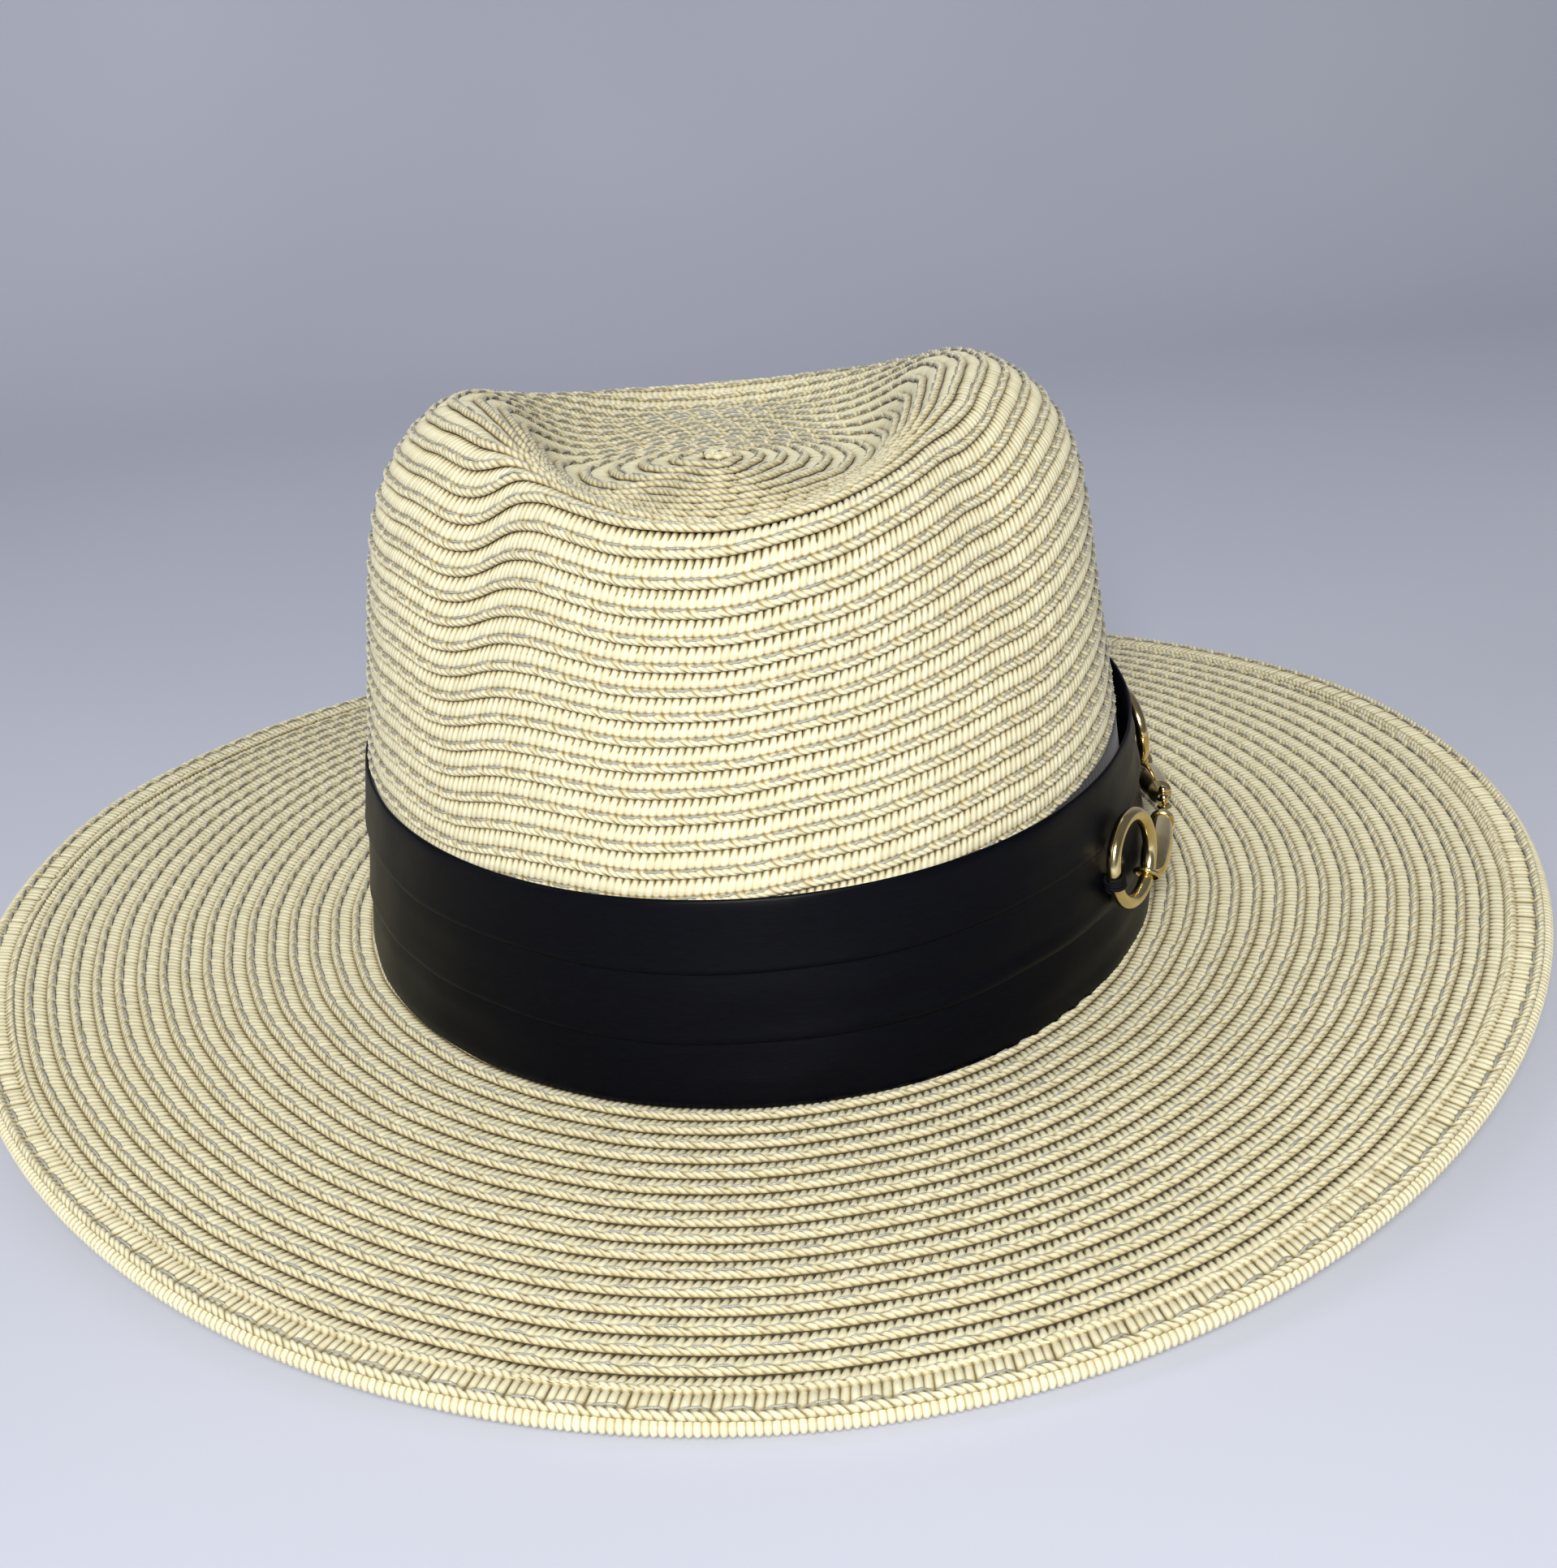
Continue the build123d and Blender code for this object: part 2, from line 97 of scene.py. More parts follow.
def crown_controls(turn):
    """Points of the crown's face from the break to the tip, for an array of directions."""
    c, s = np.cos(turn), np.sin(turn)
    front, back = np.maximum(0, -s) ** 2, np.maximum(0, s) ** 2
    side = 1 - front - back
    right_side = np.maximum(0, -c)
    low = math.sqrt(0.02)
    rise = (np.sqrt(c * c + 0.02) - low) / (math.sqrt(1.02) - low) * (1 - 0.5 * s * c * c)
    ridge = np.where(s < 0, rise, c * c)
    pinch = 4.5 * bell(turn, 232, 10) + 3.0 * bell(turn, 306, 9)
    foot = oval(HALF_WIDTH, HALF_LENGTH, turn)
    crest = oval(CREST_HALF_WIDTH, np.where(s < 0, CREST_FRONT, CREST_BACK), turn)
    crest_z = CREST_HEIGHT + CREST_SLOPE * crest * s + RIDGE_RISE * ridge
    dent = oval(33.0, np.where(s < 0, 56.0, 52.0), turn)
    top = foot - WALL_LEAN
    zero = np.zeros_like(turn)
    rings = (
        (foot, 0, zero),
        (top, 0, zero + BAND_HEIGHT),
        (
            top - 4 * side - 4 * front - 6.5 * back - 0.25 * pinch - 0.8 * right_side * side,
            0,
            (BAND_HEIGHT + crest_z) / 2,
        ),
        (
            crest + (18.9 - 2.4 * right_side) * side + 5 * front + 9.5 * back - 0.8 * pinch,
            0,
            crest_z - 11 * side - 7 * front - 7.5 * back,
        ),
        (crest, 0, crest_z),
        (crest - 8.5 * side - 9 * front - 8 * back, 1, crest_z - 4.5 * side - 2.2 * front - 2.5 * back),
        (dent, 6, DENT_HEIGHT + DENT_SLOPE * dent * s + 1),
        (0.5 * dent, 9, DENT_HEIGHT + 0.5 * DENT_SLOPE * dent * s),
        (zero, TIP_BACK, zero + DENT_HEIGHT),
    )
    return np.stack([np.stack([r * c, y + r * s, z], -1) for r, y, z in rings], 1)


def hermite(share, start, end, start_slope, end_slope, step):
    a = 2 * share**3 - 3 * share**2 + 1
    b = 3 * share**2 - 2 * share**3
    return a * start + b * end + step * (
        (share**3 - 2 * share**2 + share) * start_slope + (share**3 - share**2) * end_slope
    )


def crest_row(turn):
    """Which row of braid lies on the crest, in each direction."""
    d = np.degrees(turn) % 360
    left = 22.0 + 1.3 * (0.5 * smooth((d - 285) / 75) + 0.5 * smooth((d - 290) / 30))
    right = 26.2 - 4.2 * (0.5 * smooth((d - 180) / 72) + 0.5 * smooth((d - 222) / 24))
    return np.select(
        [d < 90, d < 180, d < 252, d < 285],
        [23.3 - 2.8 * smooth(d / 90), 20.5 + 5.7 * smooth((d - 90) / 90), right, 22.0 + 0 * d],
        left,
    )


def crown_surface(rows, turn):
    """Points of the crown's face at rows 0 (break) to 36 (tip), as rows by directions."""
    p = crown_controls(turn)
    gap = np.linalg.norm(np.diff(p, axis=1), axis=2)
    count = p.shape[1]
    system = np.zeros((len(turn), count, count))
    right_hand = np.zeros((len(turn), count, 3))
    system[:, 0, 0], system[:, 0, 1] = 2, 1
    right_hand[:, 0] = 3 * (p[:, 1] - p[:, 0]) / gap[:, 0, None]
    for i in range(1, count - 1):
        before, after = gap[:, i - 1], gap[:, i]
        system[:, i, i - 1] = 1 / before
        system[:, i, i] = 2 / before + 2 / after
        system[:, i, i + 1] = 1 / after
        right_hand[:, i] = 3 * (
            (p[:, i] - p[:, i - 1]) / before[:, None] ** 2 + (p[:, i + 1] - p[:, i]) / after[:, None] ** 2
        )
    system[:, -1, -1] = 1
    right_hand[:, -1] = np.stack([-np.cos(turn), -np.sin(turn), 0 * turn], -1)
    slope = np.linalg.solve(system, right_hand)
    fine = []
    steps = 40
    for i in range(count - 1):
        for step in range(steps):
            share = step / steps
            fine.append(
                hermite(share, p[:, i], p[:, i + 1], slope[:, i], slope[:, i + 1], gap[:, i, None])
            )
    fine.append(p[:, -1])
    fine = np.array(fine)
    length = np.cumsum(np.linalg.norm(np.diff(fine, axis=0), axis=2), axis=0)
    length = np.vstack([np.zeros(len(turn)), length])
    at_crest = length[4 * steps]
    total = length[-1]
    u_crest = crest_row(turn)
    lower = at_crest / u_crest
    h0, h1 = u_crest / 2, CROWN_ROWS - u_crest
    upper = (total - at_crest) / h1
    w0, w1 = 2 * h1 + h0, h1 + 2 * h0
    middle = (w0 + w1) / (w0 / lower + w1 / upper)
    last = np.clip(((2 * h1 + h0) * upper - h1 * lower) / (h0 + h1), 0, 3 * upper)
    out = np.zeros((len(rows), len(turn), 3))
    for k, row in enumerate(rows):
        share = (row - u_crest / 2) / h0
        near = hermite(share, at_crest / 2, at_crest, lower, middle, h0)
        far = hermite((row - u_crest) / h1, at_crest, total, middle, last, h1)
        s = np.where(row < u_crest / 2, row * lower, np.where(row < u_crest, near, far))
        for j in range(len(turn)):
            for axis in range(3):
                out[k, j, axis] = np.interp(s[j], length[:, j], fine[:, j, axis])
    return out


def brim_surface(rows, turn):
    """Points of the brim's face at rows 0 (break) to -18 (edge); the outermost row is wider."""
    s2 = np.sin(turn) ** 2
    width = BRIM_SIDEWISE + (BRIM_LENGTHWISE - BRIM_SIDEWISE) * s2
    edge = EDGE_SIDEWISE + (EDGE_LENGTHWISE - EDGE_SIDEWISE) * s2
    out = np.zeros((len(rows), len(turn), 3))
    inner = (BRIM_ROWS - 1) * BRIM_PITCH
    outer = BRIM_LENGTHWISE - inner
    for k, row in enumerate(rows):
        n = -row
        share = min(n, BRIM_ROWS - 1) * BRIM_PITCH + max(0, n - BRIM_ROWS + 1) * outer
        share /= BRIM_LENGTHWISE
        r = oval(HALF_WIDTH, HALF_LENGTH, turn) + width * share
        out[k] = np.stack([r * np.cos(turn), r * np.sin(turn), edge * share**1.5], -1)
    return out


STEP = 0.125
DIRECTIONS = 720
turns = np.arange(DIRECTIONS) / DIRECTIONS * TURN
brim_rows = np.arange(-BRIM_ROWS - 1, 0, STEP)
crown_rows = np.arange(0, CROWN_ROWS + STEP / 2, STEP)
SURFACE = np.concatenate([brim_surface(brim_rows, turns), crown_surface(crown_rows, turns)])
SURFACE[..., 2] += BREAK
around = np.roll(SURFACE, -1, 1) - np.roll(SURFACE, 1, 1)
upward = np.gradient(SURFACE, axis=0)
NORMAL = np.cross(around, upward)
NORMAL[-1] = (0, 0, 1)
NORMAL /= np.linalg.norm(NORMAL, axis=2, keepdims=True)


def lookup(table, row, turn):
    """A table's values between its rows and directions."""
    y = np.clip((np.asarray(row) + BRIM_ROWS + 1) / STEP, 0, len(table) - 1.001)
    x = (np.asarray(turn) / TURN * DIRECTIONS) % DIRECTIONS
    yi, xi = y.astype(int), x.astype(int) % DIRECTIONS
    fy, fx = (y - yi)[..., None], (x - np.floor(x))[..., None]
    xj = (xi + 1) % DIRECTIONS
    low = table[yi, xi] * (1 - fx) + table[yi, xj] * fx
    high = table[yi + 1, xi] * (1 - fx) + table[yi + 1, xj] * fx
    return low * (1 - fy) + high * fy


def on_hat(row, turn, height):
    """Points at a height in millimetres over the hat's face, in metres."""
    normal = lookup(NORMAL, row, turn)
    normal /= np.linalg.norm(normal, axis=-1, keepdims=True)
    return (lookup(SURFACE, row, turn) + normal * np.asarray(height)[..., None]) * MM


# ---------------------------------------------------------------- meshes

def grid_faces(columns, rows, close=False, flip=False):
    """Corner numbers of the quads of a grid whose vertices run row by row within a column."""
    i = np.arange(columns if close else columns - 1)[:, None]
    j = np.arange(rows - 1)[None]
    a = i * rows + j
    b = ((i + 1) % columns) * rows + j
    quads = np.stack([a, b, b + 1, a + 1], -1).reshape(-1, 4)
    return quads[:, ::-1] if flip else quads


def make_mesh(name, points, quads, material, uv=None, **values):
    """An object from point and quad arrays, smooth shaded, with vertex values for its material."""
    points = np.asarray(points, float).reshape(-1, 3)
    mesh = bpy.data.meshes.new(name)
    mesh.vertices.add(len(points))
    mesh.vertices.foreach_set("co", points.astype(np.float32).ravel())
    mesh.loops.add(quads.size)
    mesh.loops.foreach_set("vertex_index", quads.astype(np.int32).ravel())
    mesh.polygons.add(len(quads))
    mesh.polygons.foreach_set("loop_start", np.arange(len(quads), dtype=np.int32) * quads.shape[1])
    mesh.polygons.foreach_set("use_smooth", np.ones(len(quads), bool))
    mesh.update(calc_edges=True)
    for key, value in values.items():
        layer = mesh.attributes.new(key, "FLOAT", "POINT")
        layer.data.foreach_set("value", np.asarray(value, np.float32).ravel())
    if uv is not None:
        layer = mesh.uv_layers.new(name="OFBake")
        layer.data.foreach_set("uv", uv.astype(np.float32).ravel())
    mesh.materials.append(material)
    made = bpy.data.objects.new(name, mesh)
    bpy.context.scene.collection.objects.link(made)
    return made


def strip_uv(columns, rows, long_side, across, close=False):
    """A map that lays a long strip out in stacked bands, one set of corners for each quad of its grid."""
    runs = columns if close else columns - 1
    bands = max(1, int(round(math.sqrt(long_side / across))))
    per_band = int(math.ceil(runs / bands))
    i = np.arange(runs)
    band, place = i // per_band, i % per_band
    edge = 0.004
    left = edge + (1 - 2 * edge) * place / per_band
    right = edge + (1 - 2 * edge) * (place + 1) / per_band
    pitch = 1 / (bands + 1)
    j = np.arange(rows - 1)
    low = 0.06 + 0.88 * j / (rows - 1)
    high = 0.06 + 0.88 * (j + 1) / (rows - 1)
    shape = (runs, rows - 1)
    left, right = (np.broadcast_to(x[:, None], shape) for x in (left, right))
    base = np.broadcast_to(band[:, None], shape)
    bottom, top = (base + low[None]) * pitch, (base + high[None]) * pitch
    corners = [(left, bottom), (right, bottom), (right, top), (left, top)]
    return np.stack([np.stack(c, -1) for c in corners], 2).reshape(-1, 2)


# ---------------------------------------------------------------- materials

def new_material(name):
    material = bpy.data.materials.new(name)
    material.use_nodes = True
    nodes = material.node_tree.nodes
    shader = nodes["Principled BSDF"]
    return material, nodes, material.node_tree.links, shader


def add_node(nodes, kind, **settings):
    node = nodes.new(kind)
    for key, value in settings.items():
        if key in node.inputs:
            node.inputs[key].default_value = value
        else:
            setattr(node, key, value)
    return node


def ramp(nodes, *stops):
    node = nodes.new("ShaderNodeValToRGB")
    for place, colour in stops[2:]:
        node.color_ramp.elements.new(place)
    for element, (place, colour) in zip(node.color_ramp.elements, stops):
        element.position = place
        element.color = (*colour, 1)
    return node


def straw_material(name, pale, warm, darkest_shade):
    """Straw: fibre streaks, strands that differ in tone, and painted shade that darkens the colour between
    strands and, near black, in the gaps.
    """
    material, nodes, links, shader = new_material(name)
    cavity = add_node(nodes, "ShaderNodeAttribute", attribute_name="cavity")
    tone = add_node(nodes, "ShaderNodeAttribute", attribute_name="tone")
    place = nodes.new("ShaderNodeTexCoord")
    fibres = add_node(nodes, "ShaderNodeTexNoise", Scale=1500.0, Detail=4.0, Roughness=0.6)
    patches = add_node(nodes, "ShaderNodeTexNoise", Scale=22.0, Detail=3.0)
    for noise in (fibres, patches):
        links.new(place.outputs["Object"], noise.inputs["Vector"])
    tones = ramp(nodes, (0.0, warm), (1.0, pale))
    mixed = add_node(nodes, "ShaderNodeMath", operation="MULTIPLY_ADD")
    mixed.inputs[1].default_value = 0.9
    links.new(fibres.outputs["Fac"], mixed.inputs[0])
    lighter = add_node(nodes, "ShaderNodeMath", operation="MULTIPLY")
    lighter.inputs[1].default_value = 0.45
    links.new(tone.outputs["Fac"], lighter.inputs[0])
    links.new(lighter.outputs[0], mixed.inputs[2])
    drift = add_node(nodes, "ShaderNodeMath", operation="MULTIPLY_ADD")
    drift.inputs[1].default_value = 0.35
    links.new(patches.outputs["Fac"], drift.inputs[0])
    links.new(mixed.outputs[0], drift.inputs[2])
    less = add_node(nodes, "ShaderNodeMath", operation="SUBTRACT")
    less.inputs[1].default_value = 0.40
    links.new(drift.outputs[0], less.inputs[0])
    links.new(less.outputs[0], tones.inputs["Fac"])
    # Painted shade: the per-vertex values darken the colour between strands, under the cords and, near black,
    # in the gaps.
    shade = ramp(
        nodes, (0.0, darkest_shade), (0.26, (0.36, 0.30, 0.19)), (0.48, (0.82, 0.78, 0.70)), (0.72, (1.0, 1.0, 1.0))
    )
    links.new(cavity.outputs["Fac"], shade.inputs["Fac"])
    colour = add_node(nodes, "ShaderNodeMix", data_type="RGBA", blend_type="MULTIPLY")
    colour.inputs[0].default_value = 1.0
    links.new(tones.outputs["Color"], colour.inputs[6])
    links.new(shade.outputs["Color"], colour.inputs[7])
    links.new(colour.outputs[2], shader.inputs["Base Color"])
    rough = add_node(nodes, "ShaderNodeMapRange")
    rough.inputs["To Min"].default_value = 0.5
    rough.inputs["To Max"].default_value = 0.78
    links.new(fibres.outputs["Fac"], rough.inputs["Value"])
    links.new(rough.outputs["Result"], shader.inputs["Roughness"])
    bump = add_node(nodes, "ShaderNodeBump", Strength=0.35, Distance=0.00012)
    links.new(fibres.outputs["Fac"], bump.inputs["Height"])
    links.new(bump.outputs["Normal"], shader.inputs["Normal"])
    shader.inputs["Specular IOR Level"].default_value = 0.35
    shader.inputs["Sheen Weight"].default_value = 0.12
    shader.inputs["Sheen Roughness"].default_value = 0.4
    return material


def thread_material(name, colour, bright, roughness, clear=0.0, shine=0.5):
    """Sewing thread: fine twist lines along it."""
    material, nodes, links, shader = new_material(name)
    place = nodes.new("ShaderNodeTexCoord")
    twist = add_node(nodes, "ShaderNodeTexWave", Scale=1400.0, Distortion=2.0, Detail=2.0)
    twist.bands_direction = "DIAGONAL"
    links.new(place.outputs["Object"], twist.inputs["Vector"])
    tones = ramp(nodes, (0.0, colour), (1.0, bright))
    links.new(twist.outputs["Fac"], tones.inputs["Fac"])
    links.new(tones.outputs["Color"], shader.inputs["Base Color"])
    bump = add_node(nodes, "ShaderNodeBump", Strength=0.4, Distance=0.00008)
    links.new(twist.outputs["Fac"], bump.inputs["Height"])
    links.new(bump.outputs["Normal"], shader.inputs["Normal"])
    rough = add_node(nodes, "ShaderNodeMapRange")
    rough.inputs["To Min"].default_value = roughness
    rough.inputs["To Max"].default_value = roughness + 0.15
    links.new(twist.outputs["Fac"], rough.inputs["Value"])
    links.new(rough.outputs["Result"], shader.inputs["Roughness"])
    shader.inputs["Specular IOR Level"].default_value = shine
    shader.inputs["Coat Weight"].default_value = clear
    return material


def satin_material(name, dark, light):
    """Satin: fine lengthwise floats, soft broad sheen, faint slubs."""
    material, nodes, links, shader = new_material(name)
    place = nodes.new("ShaderNodeTexCoord")
    wide = add_node(nodes, "ShaderNodeMapping", Scale=(1.0, 1.0, 14.0))
    links.new(place.outputs["Object"], wide.inputs["Vector"])
    floats = add_node(nodes, "ShaderNodeTexNoise", Scale=320.0, Detail=5.0, Roughness=0.65)
    links.new(wide.outputs["Vector"], floats.inputs["Vector"])
    slubs = add_node(nodes, "ShaderNodeTexNoise", Scale=45.0, Detail=3.0)
    links.new(place.outputs["Object"], slubs.inputs["Vector"])
    tones = ramp(nodes, (0.25, dark), (0.8, light))
    links.new(floats.outputs["Fac"], tones.inputs["Fac"])
    links.new(tones.outputs["Color"], shader.inputs["Base Color"])
    rough = add_node(nodes, "ShaderNodeMapRange")
    rough.inputs["To Min"].default_value = 0.3
    rough.inputs["To Max"].default_value = 0.52
    links.new(slubs.outputs["Fac"], rough.inputs["Value"])
    links.new(rough.outputs["Result"], shader.inputs["Roughness"])
    bump = add_node(nodes, "ShaderNodeBump", Strength=0.25, Distance=0.0001)
    links.new(floats.outputs["Fac"], bump.inputs["Height"])
    creased = add_node(nodes, "ShaderNodeBump", Strength=0.3, Distance=0.0006)
    links.new(slubs.outputs["Fac"], creased.inputs["Height"])
    links.new(bump.outputs["Normal"], creased.inputs["Normal"])
    links.new(creased.outputs["Normal"], shader.inputs["Normal"])
    shader.inputs["Specular IOR Level"].default_value = 0.09
    shader.inputs["Sheen Weight"].default_value = 0.004
    shader.inputs["Sheen Roughness"].default_value = 0.3
    shader.inputs["Sheen Tint"].default_value = (0.35, 0.4, 0.75, 1)
    return material


def ribbon_material(name, dark, light):
    """Grosgrain: close upright ribs, matt; painted light on the rib tops and painted shade in the grooves
    between them.
    """
    material, nodes, links, shader = new_material(name)
    rib_shading = add_node(nodes, "ShaderNodeAttribute", attribute_name="rib")
    place = nodes.new("ShaderNodeTexCoord")
    fuzz = add_node(nodes, "ShaderNodeTexNoise", Scale=900.0, Detail=4.0)
    links.new(place.outputs["Object"], fuzz.inputs["Vector"])
    both = add_node(nodes, "ShaderNodeMath", operation="MULTIPLY_ADD")
    both.inputs[1].default_value = 0.5
    links.new(fuzz.outputs["Fac"], both.inputs[0])
    half = add_node(nodes, "ShaderNodeMath", operation="MULTIPLY")
    half.inputs[1].default_value = 0.7
    links.new(rib_shading.outputs["Fac"], half.inputs[0])
    links.new(half.outputs[0], both.inputs[2])
    tones = ramp(nodes, (0.15, dark), (0.85, light))
    links.new(both.outputs[0], tones.inputs["Fac"])
    links.new(tones.outputs["Color"], shader.inputs["Base Color"])
    rough = add_node(nodes, "ShaderNodeMapRange")
    rough.inputs["To Min"].default_value = 0.65
    rough.inputs["To Max"].default_value = 0.9
    links.new(fuzz.outputs["Fac"], rough.inputs["Value"])
    links.new(rough.outputs["Result"], shader.inputs["Roughness"])
    bump = add_node(nodes, "ShaderNodeBump", Strength=0.5, Distance=0.0001)
    links.new(both.outputs[0], bump.inputs["Height"])
    links.new(bump.outputs["Normal"], shader.inputs["Normal"])
    shader.inputs["Sheen Weight"].default_value = 0.2
    return material


def gold_material(name):
    """Polished gilt metal: fine scratches, slightly duller and redder in patches."""
    material, nodes, links, shader = new_material(name)
    place = nodes.new("ShaderNodeTexCoord")
    scratches = add_node(nodes, "ShaderNodeTexNoise", Scale=2600.0, Detail=5.0, Roughness=0.7)
    tarnish = add_node(nodes, "ShaderNodeTexNoise", Scale=160.0, Detail=3.0)
    for noise in (scratches, tarnish):
        links.new(place.outputs["Object"], noise.inputs["Vector"])
    tones = ramp(nodes, (0.3, (0.74, 0.56, 0.24)), (0.65, (0.92, 0.76, 0.40)))
    links.new(tarnish.outputs["Fac"], tones.inputs["Fac"])
    links.new(tones.outputs["Color"], shader.inputs["Base Color"])
    rough = add_node(nodes, "ShaderNodeMapRange")
    rough.inputs["To Min"].default_value = 0.07
    rough.inputs["To Max"].default_value = 0.24
    links.new(tarnish.outputs["Fac"], rough.inputs["Value"])
    links.new(rough.outputs["Result"], shader.inputs["Roughness"])
    bump = add_node(nodes, "ShaderNodeBump", Strength=0.06, Distance=0.00003)
    links.new(scratches.outputs["Fac"], bump.inputs["Height"])
    links.new(bump.outputs["Normal"], shader.inputs["Normal"])
    shader.inputs["Metallic"].default_value = 1.0
    return material


STRAW = straw_material("straw_braid", (0.77, 0.735, 0.545), (0.60, 0.555, 0.37), (0.012, 0.008, 0.004))
# A slightly darker copy of the straw for the braid's inner and under faces: painted shade.
SHADED_UNDER_STRAW = straw_material("straw_under_shaded", (0.74, 0.69, 0.51), (0.56, 0.50, 0.33), (0.012, 0.008, 0.004))
CLEAR_THREAD = thread_material("clear_thread", (0.24, 0.24, 0.215), (0.40, 0.395, 0.35), 0.35, 0.3)
BLACK_THREAD = thread_material("black_thread", (0.002, 0.002, 0.003), (0.008, 0.008, 0.010), 0.6, shine=0.1)
SATIN = satin_material("band_satin", (0.0006, 0.0007, 0.0014), (0.0020, 0.0024, 0.0052))
BACKING = ribbon_material("band_backing", (0.010, 0.010, 0.013), (0.03, 0.03, 0.035))
RIBBON = ribbon_material("sweatband_ribbon", (0.52, 0.44, 0.32), (0.80, 0.72, 0.58))
GOLD = gold_material("gold_metal")


# ---------------------------------------------------------------- sewn braid

# The whole spiral, from the brim's edge (turn 0) to the crown's tip, and how long it is up to each turn.
ALL_TURNS = BRIM_ROWS + CROWN_ROWS
fine_turns = np.arange(0, ALL_TURNS, 1 / 360)
path = lookup(SURFACE, fine_turns - BRIM_ROWS + 0.5, fine_turns * TURN)
steps = np.linalg.norm(np.diff(path, axis=0), axis=1)
SPIRAL_LENGTH = np.concatenate([[0], np.cumsum(steps)])
STRAND = 1.55
STITCH_PITCH = 6.3
# The cords are drawn in between two stitches, and the strands part in the gaps; depths in millimetres.
KNOT_WIDTH, KNOT_DEPTH, GAP_DEPTH = 0.6, 0.38, 1.3
# The row under the edge row keeps inside it, and rows behind the band lie flatter.
UNDER_EDGE_ROW = 0.85
HIDDEN_ROWS = (0.4, 7.0)
BAND_TURN = 24.4
THREAD_RADIUS = 0.26


def turn_at(length):
    return np.interp(length, SPIRAL_LENGTH, fine_turns)


def length_at(turn):
    return float(np.interp(turn, fine_turns, SPIRAL_LENGTH))


def wobble(turn, share):
    """How far a row's line strays from even spacing, in rows; neighbours stray alike where they meet."""
    angle = turn * TURN
    waves = 0.030 * np.sin(angle * 5) + 0.022 * np.sin(angle * 13 + 2.1) + 0.016 * np.sin(angle * 29 + 0.7)
    kinks = 0.10 * bell(angle, 237, 5) - 0.08 * bell(angle, 226, 5)
    kinks = kinks + 0.07 * bell(angle, 303, 4) - 0.06 * bell(angle, 311, 5)
    rows_up = turn - BRIM_ROWS + share
    degrees = np.degrees(angle) % 360
    climb = np.where(degrees > 200, smooth((degrees - 248) / 30), 1 - smooth(degrees / 200))
    waves = waves + 0.6 * climb * smooth((rows_up - 2) / 5) * smooth((25 - rows_up) / 5)
    return waves + kinks * smooth((rows_up - 8) / 4) * smooth((24 - rows_up) / 4)


def openness(row, turn):
    """How far the strands stand apart: most on the crown's front and on the brim at the front left."""
    front = bell(turn, 270, 26) * smooth((row - 9) / 3) * smooth((22.5 - row) / 3)
    brim = bell(turn, 300, 34) * smooth(-row / 3) * smooth((15 + row) / 5)
    return 0.18 + 0.82 * np.clip(front + 0.75 * brim, 0, 1)


# Across a row, from under its cord to under the next row: place, height, slant, swing, opening, light. The
# light column is painted light and shade: lowest under the cords and in the stitch groove, highest on the
# strands.
ROW_PROFILE = np.array(
    [
        (0.05, -0.55, 1.50, 0.00, 0.0, 0.00),
        (-0.05, 0.15, 1.40, 0.10, 0.0, 0.34),
        (0.03, 0.82, 0.95, 0.15, 0.0, 0.54),
        (0.13, 0.98, 0.50, 0.15, 0.0, 0.60),
        (0.24, 0.62, 0.10, 0.13, 0.0, 0.50),
        (0.31, 0.00, 0.00, 0.08, 0.0, 0.22),
        (0.42, 0.20, 0.06, 0.14, 0.0, 0.66),
        (0.56, 0.20, 0.16, 0.17, 0.0, 0.72),
        (0.68, 0.08, 0.26, 0.18, 0.55, 0.68),
        (0.80, -0.12, 0.36, 0.20, 1.2, 0.46),
        (0.91, -0.32, 0.42, 0.18, 1.4, 0.24),
        (1.06, -0.60, 0.48, 0.02, 1.4, 0.02),
    ]
)
# The braid's other face: a shallow cord at one side; the same columns, the last one painted light and shade.
BACK_PROFILE = np.array(
    [
        (-0.02, -0.35, 0.6, 0.05, 0.0, 0.10),
        (0.06, 0.20, 0.5, 0.12, 0.0, 0.55),
        (0.20, 0.30, 0.2, 0.12, 0.0, 0.62),
        (0.34, 0.00, 0.0, 0.08, 0.0, 0.35),
        (0.60, 0.10, 0.1, 0.20, 0.3, 0.60),
        (0.98, -0.35, 0.3, 0.08, 0.0, 0.12),
    ]
)
# The outermost row lies on top of the others and shows both of its cords; the last column is painted light
# and shade.
EDGE_PROFILE = np.array(
    [
        (0.02, -0.60, 0.90, 0.02, 0.0, 0.10),
        (-0.03, 0.45, 0.90, 0.16, 0.0, 0.40),
        (0.02, 1.12, 0.65, 0.20, 0.0, 0.58),
        (0.10, 1.25, 0.30, 0.20, 0.0, 0.62),
        (0.18, 0.95, 0.02, 0.16, 0.0, 0.50),
        (0.24, 0.50, 0.00, 0.10, 0.0, 0.28),
        (0.36, 0.78, 0.05, 0.26, 0.0, 0.58),
        (0.52, 0.80, 0.12, 0.30, 0.0, 0.62),
        (0.68, 0.72, 0.20, 0.28, 0.2, 0.56),
        (0.77, 0.45, 0.24, 0.12, 0.3, 0.30),
        (0.84, 0.90, 0.20, 0.16, 0.0, 0.50),
        (0.93, 1.15, -0.10, 0.20, 0.0, 0.62),
        (1.00, 0.95, -0.45, 0.16, 0.0, 0.50),
        (1.05, 0.20, -0.60, 0.04, 0.0, 0.10),
    ]
)
SWING = {4: (-1.0, 0.35, 1.0, 0.35), 2: (-1.0, 0.9), 1: (0.2,)}


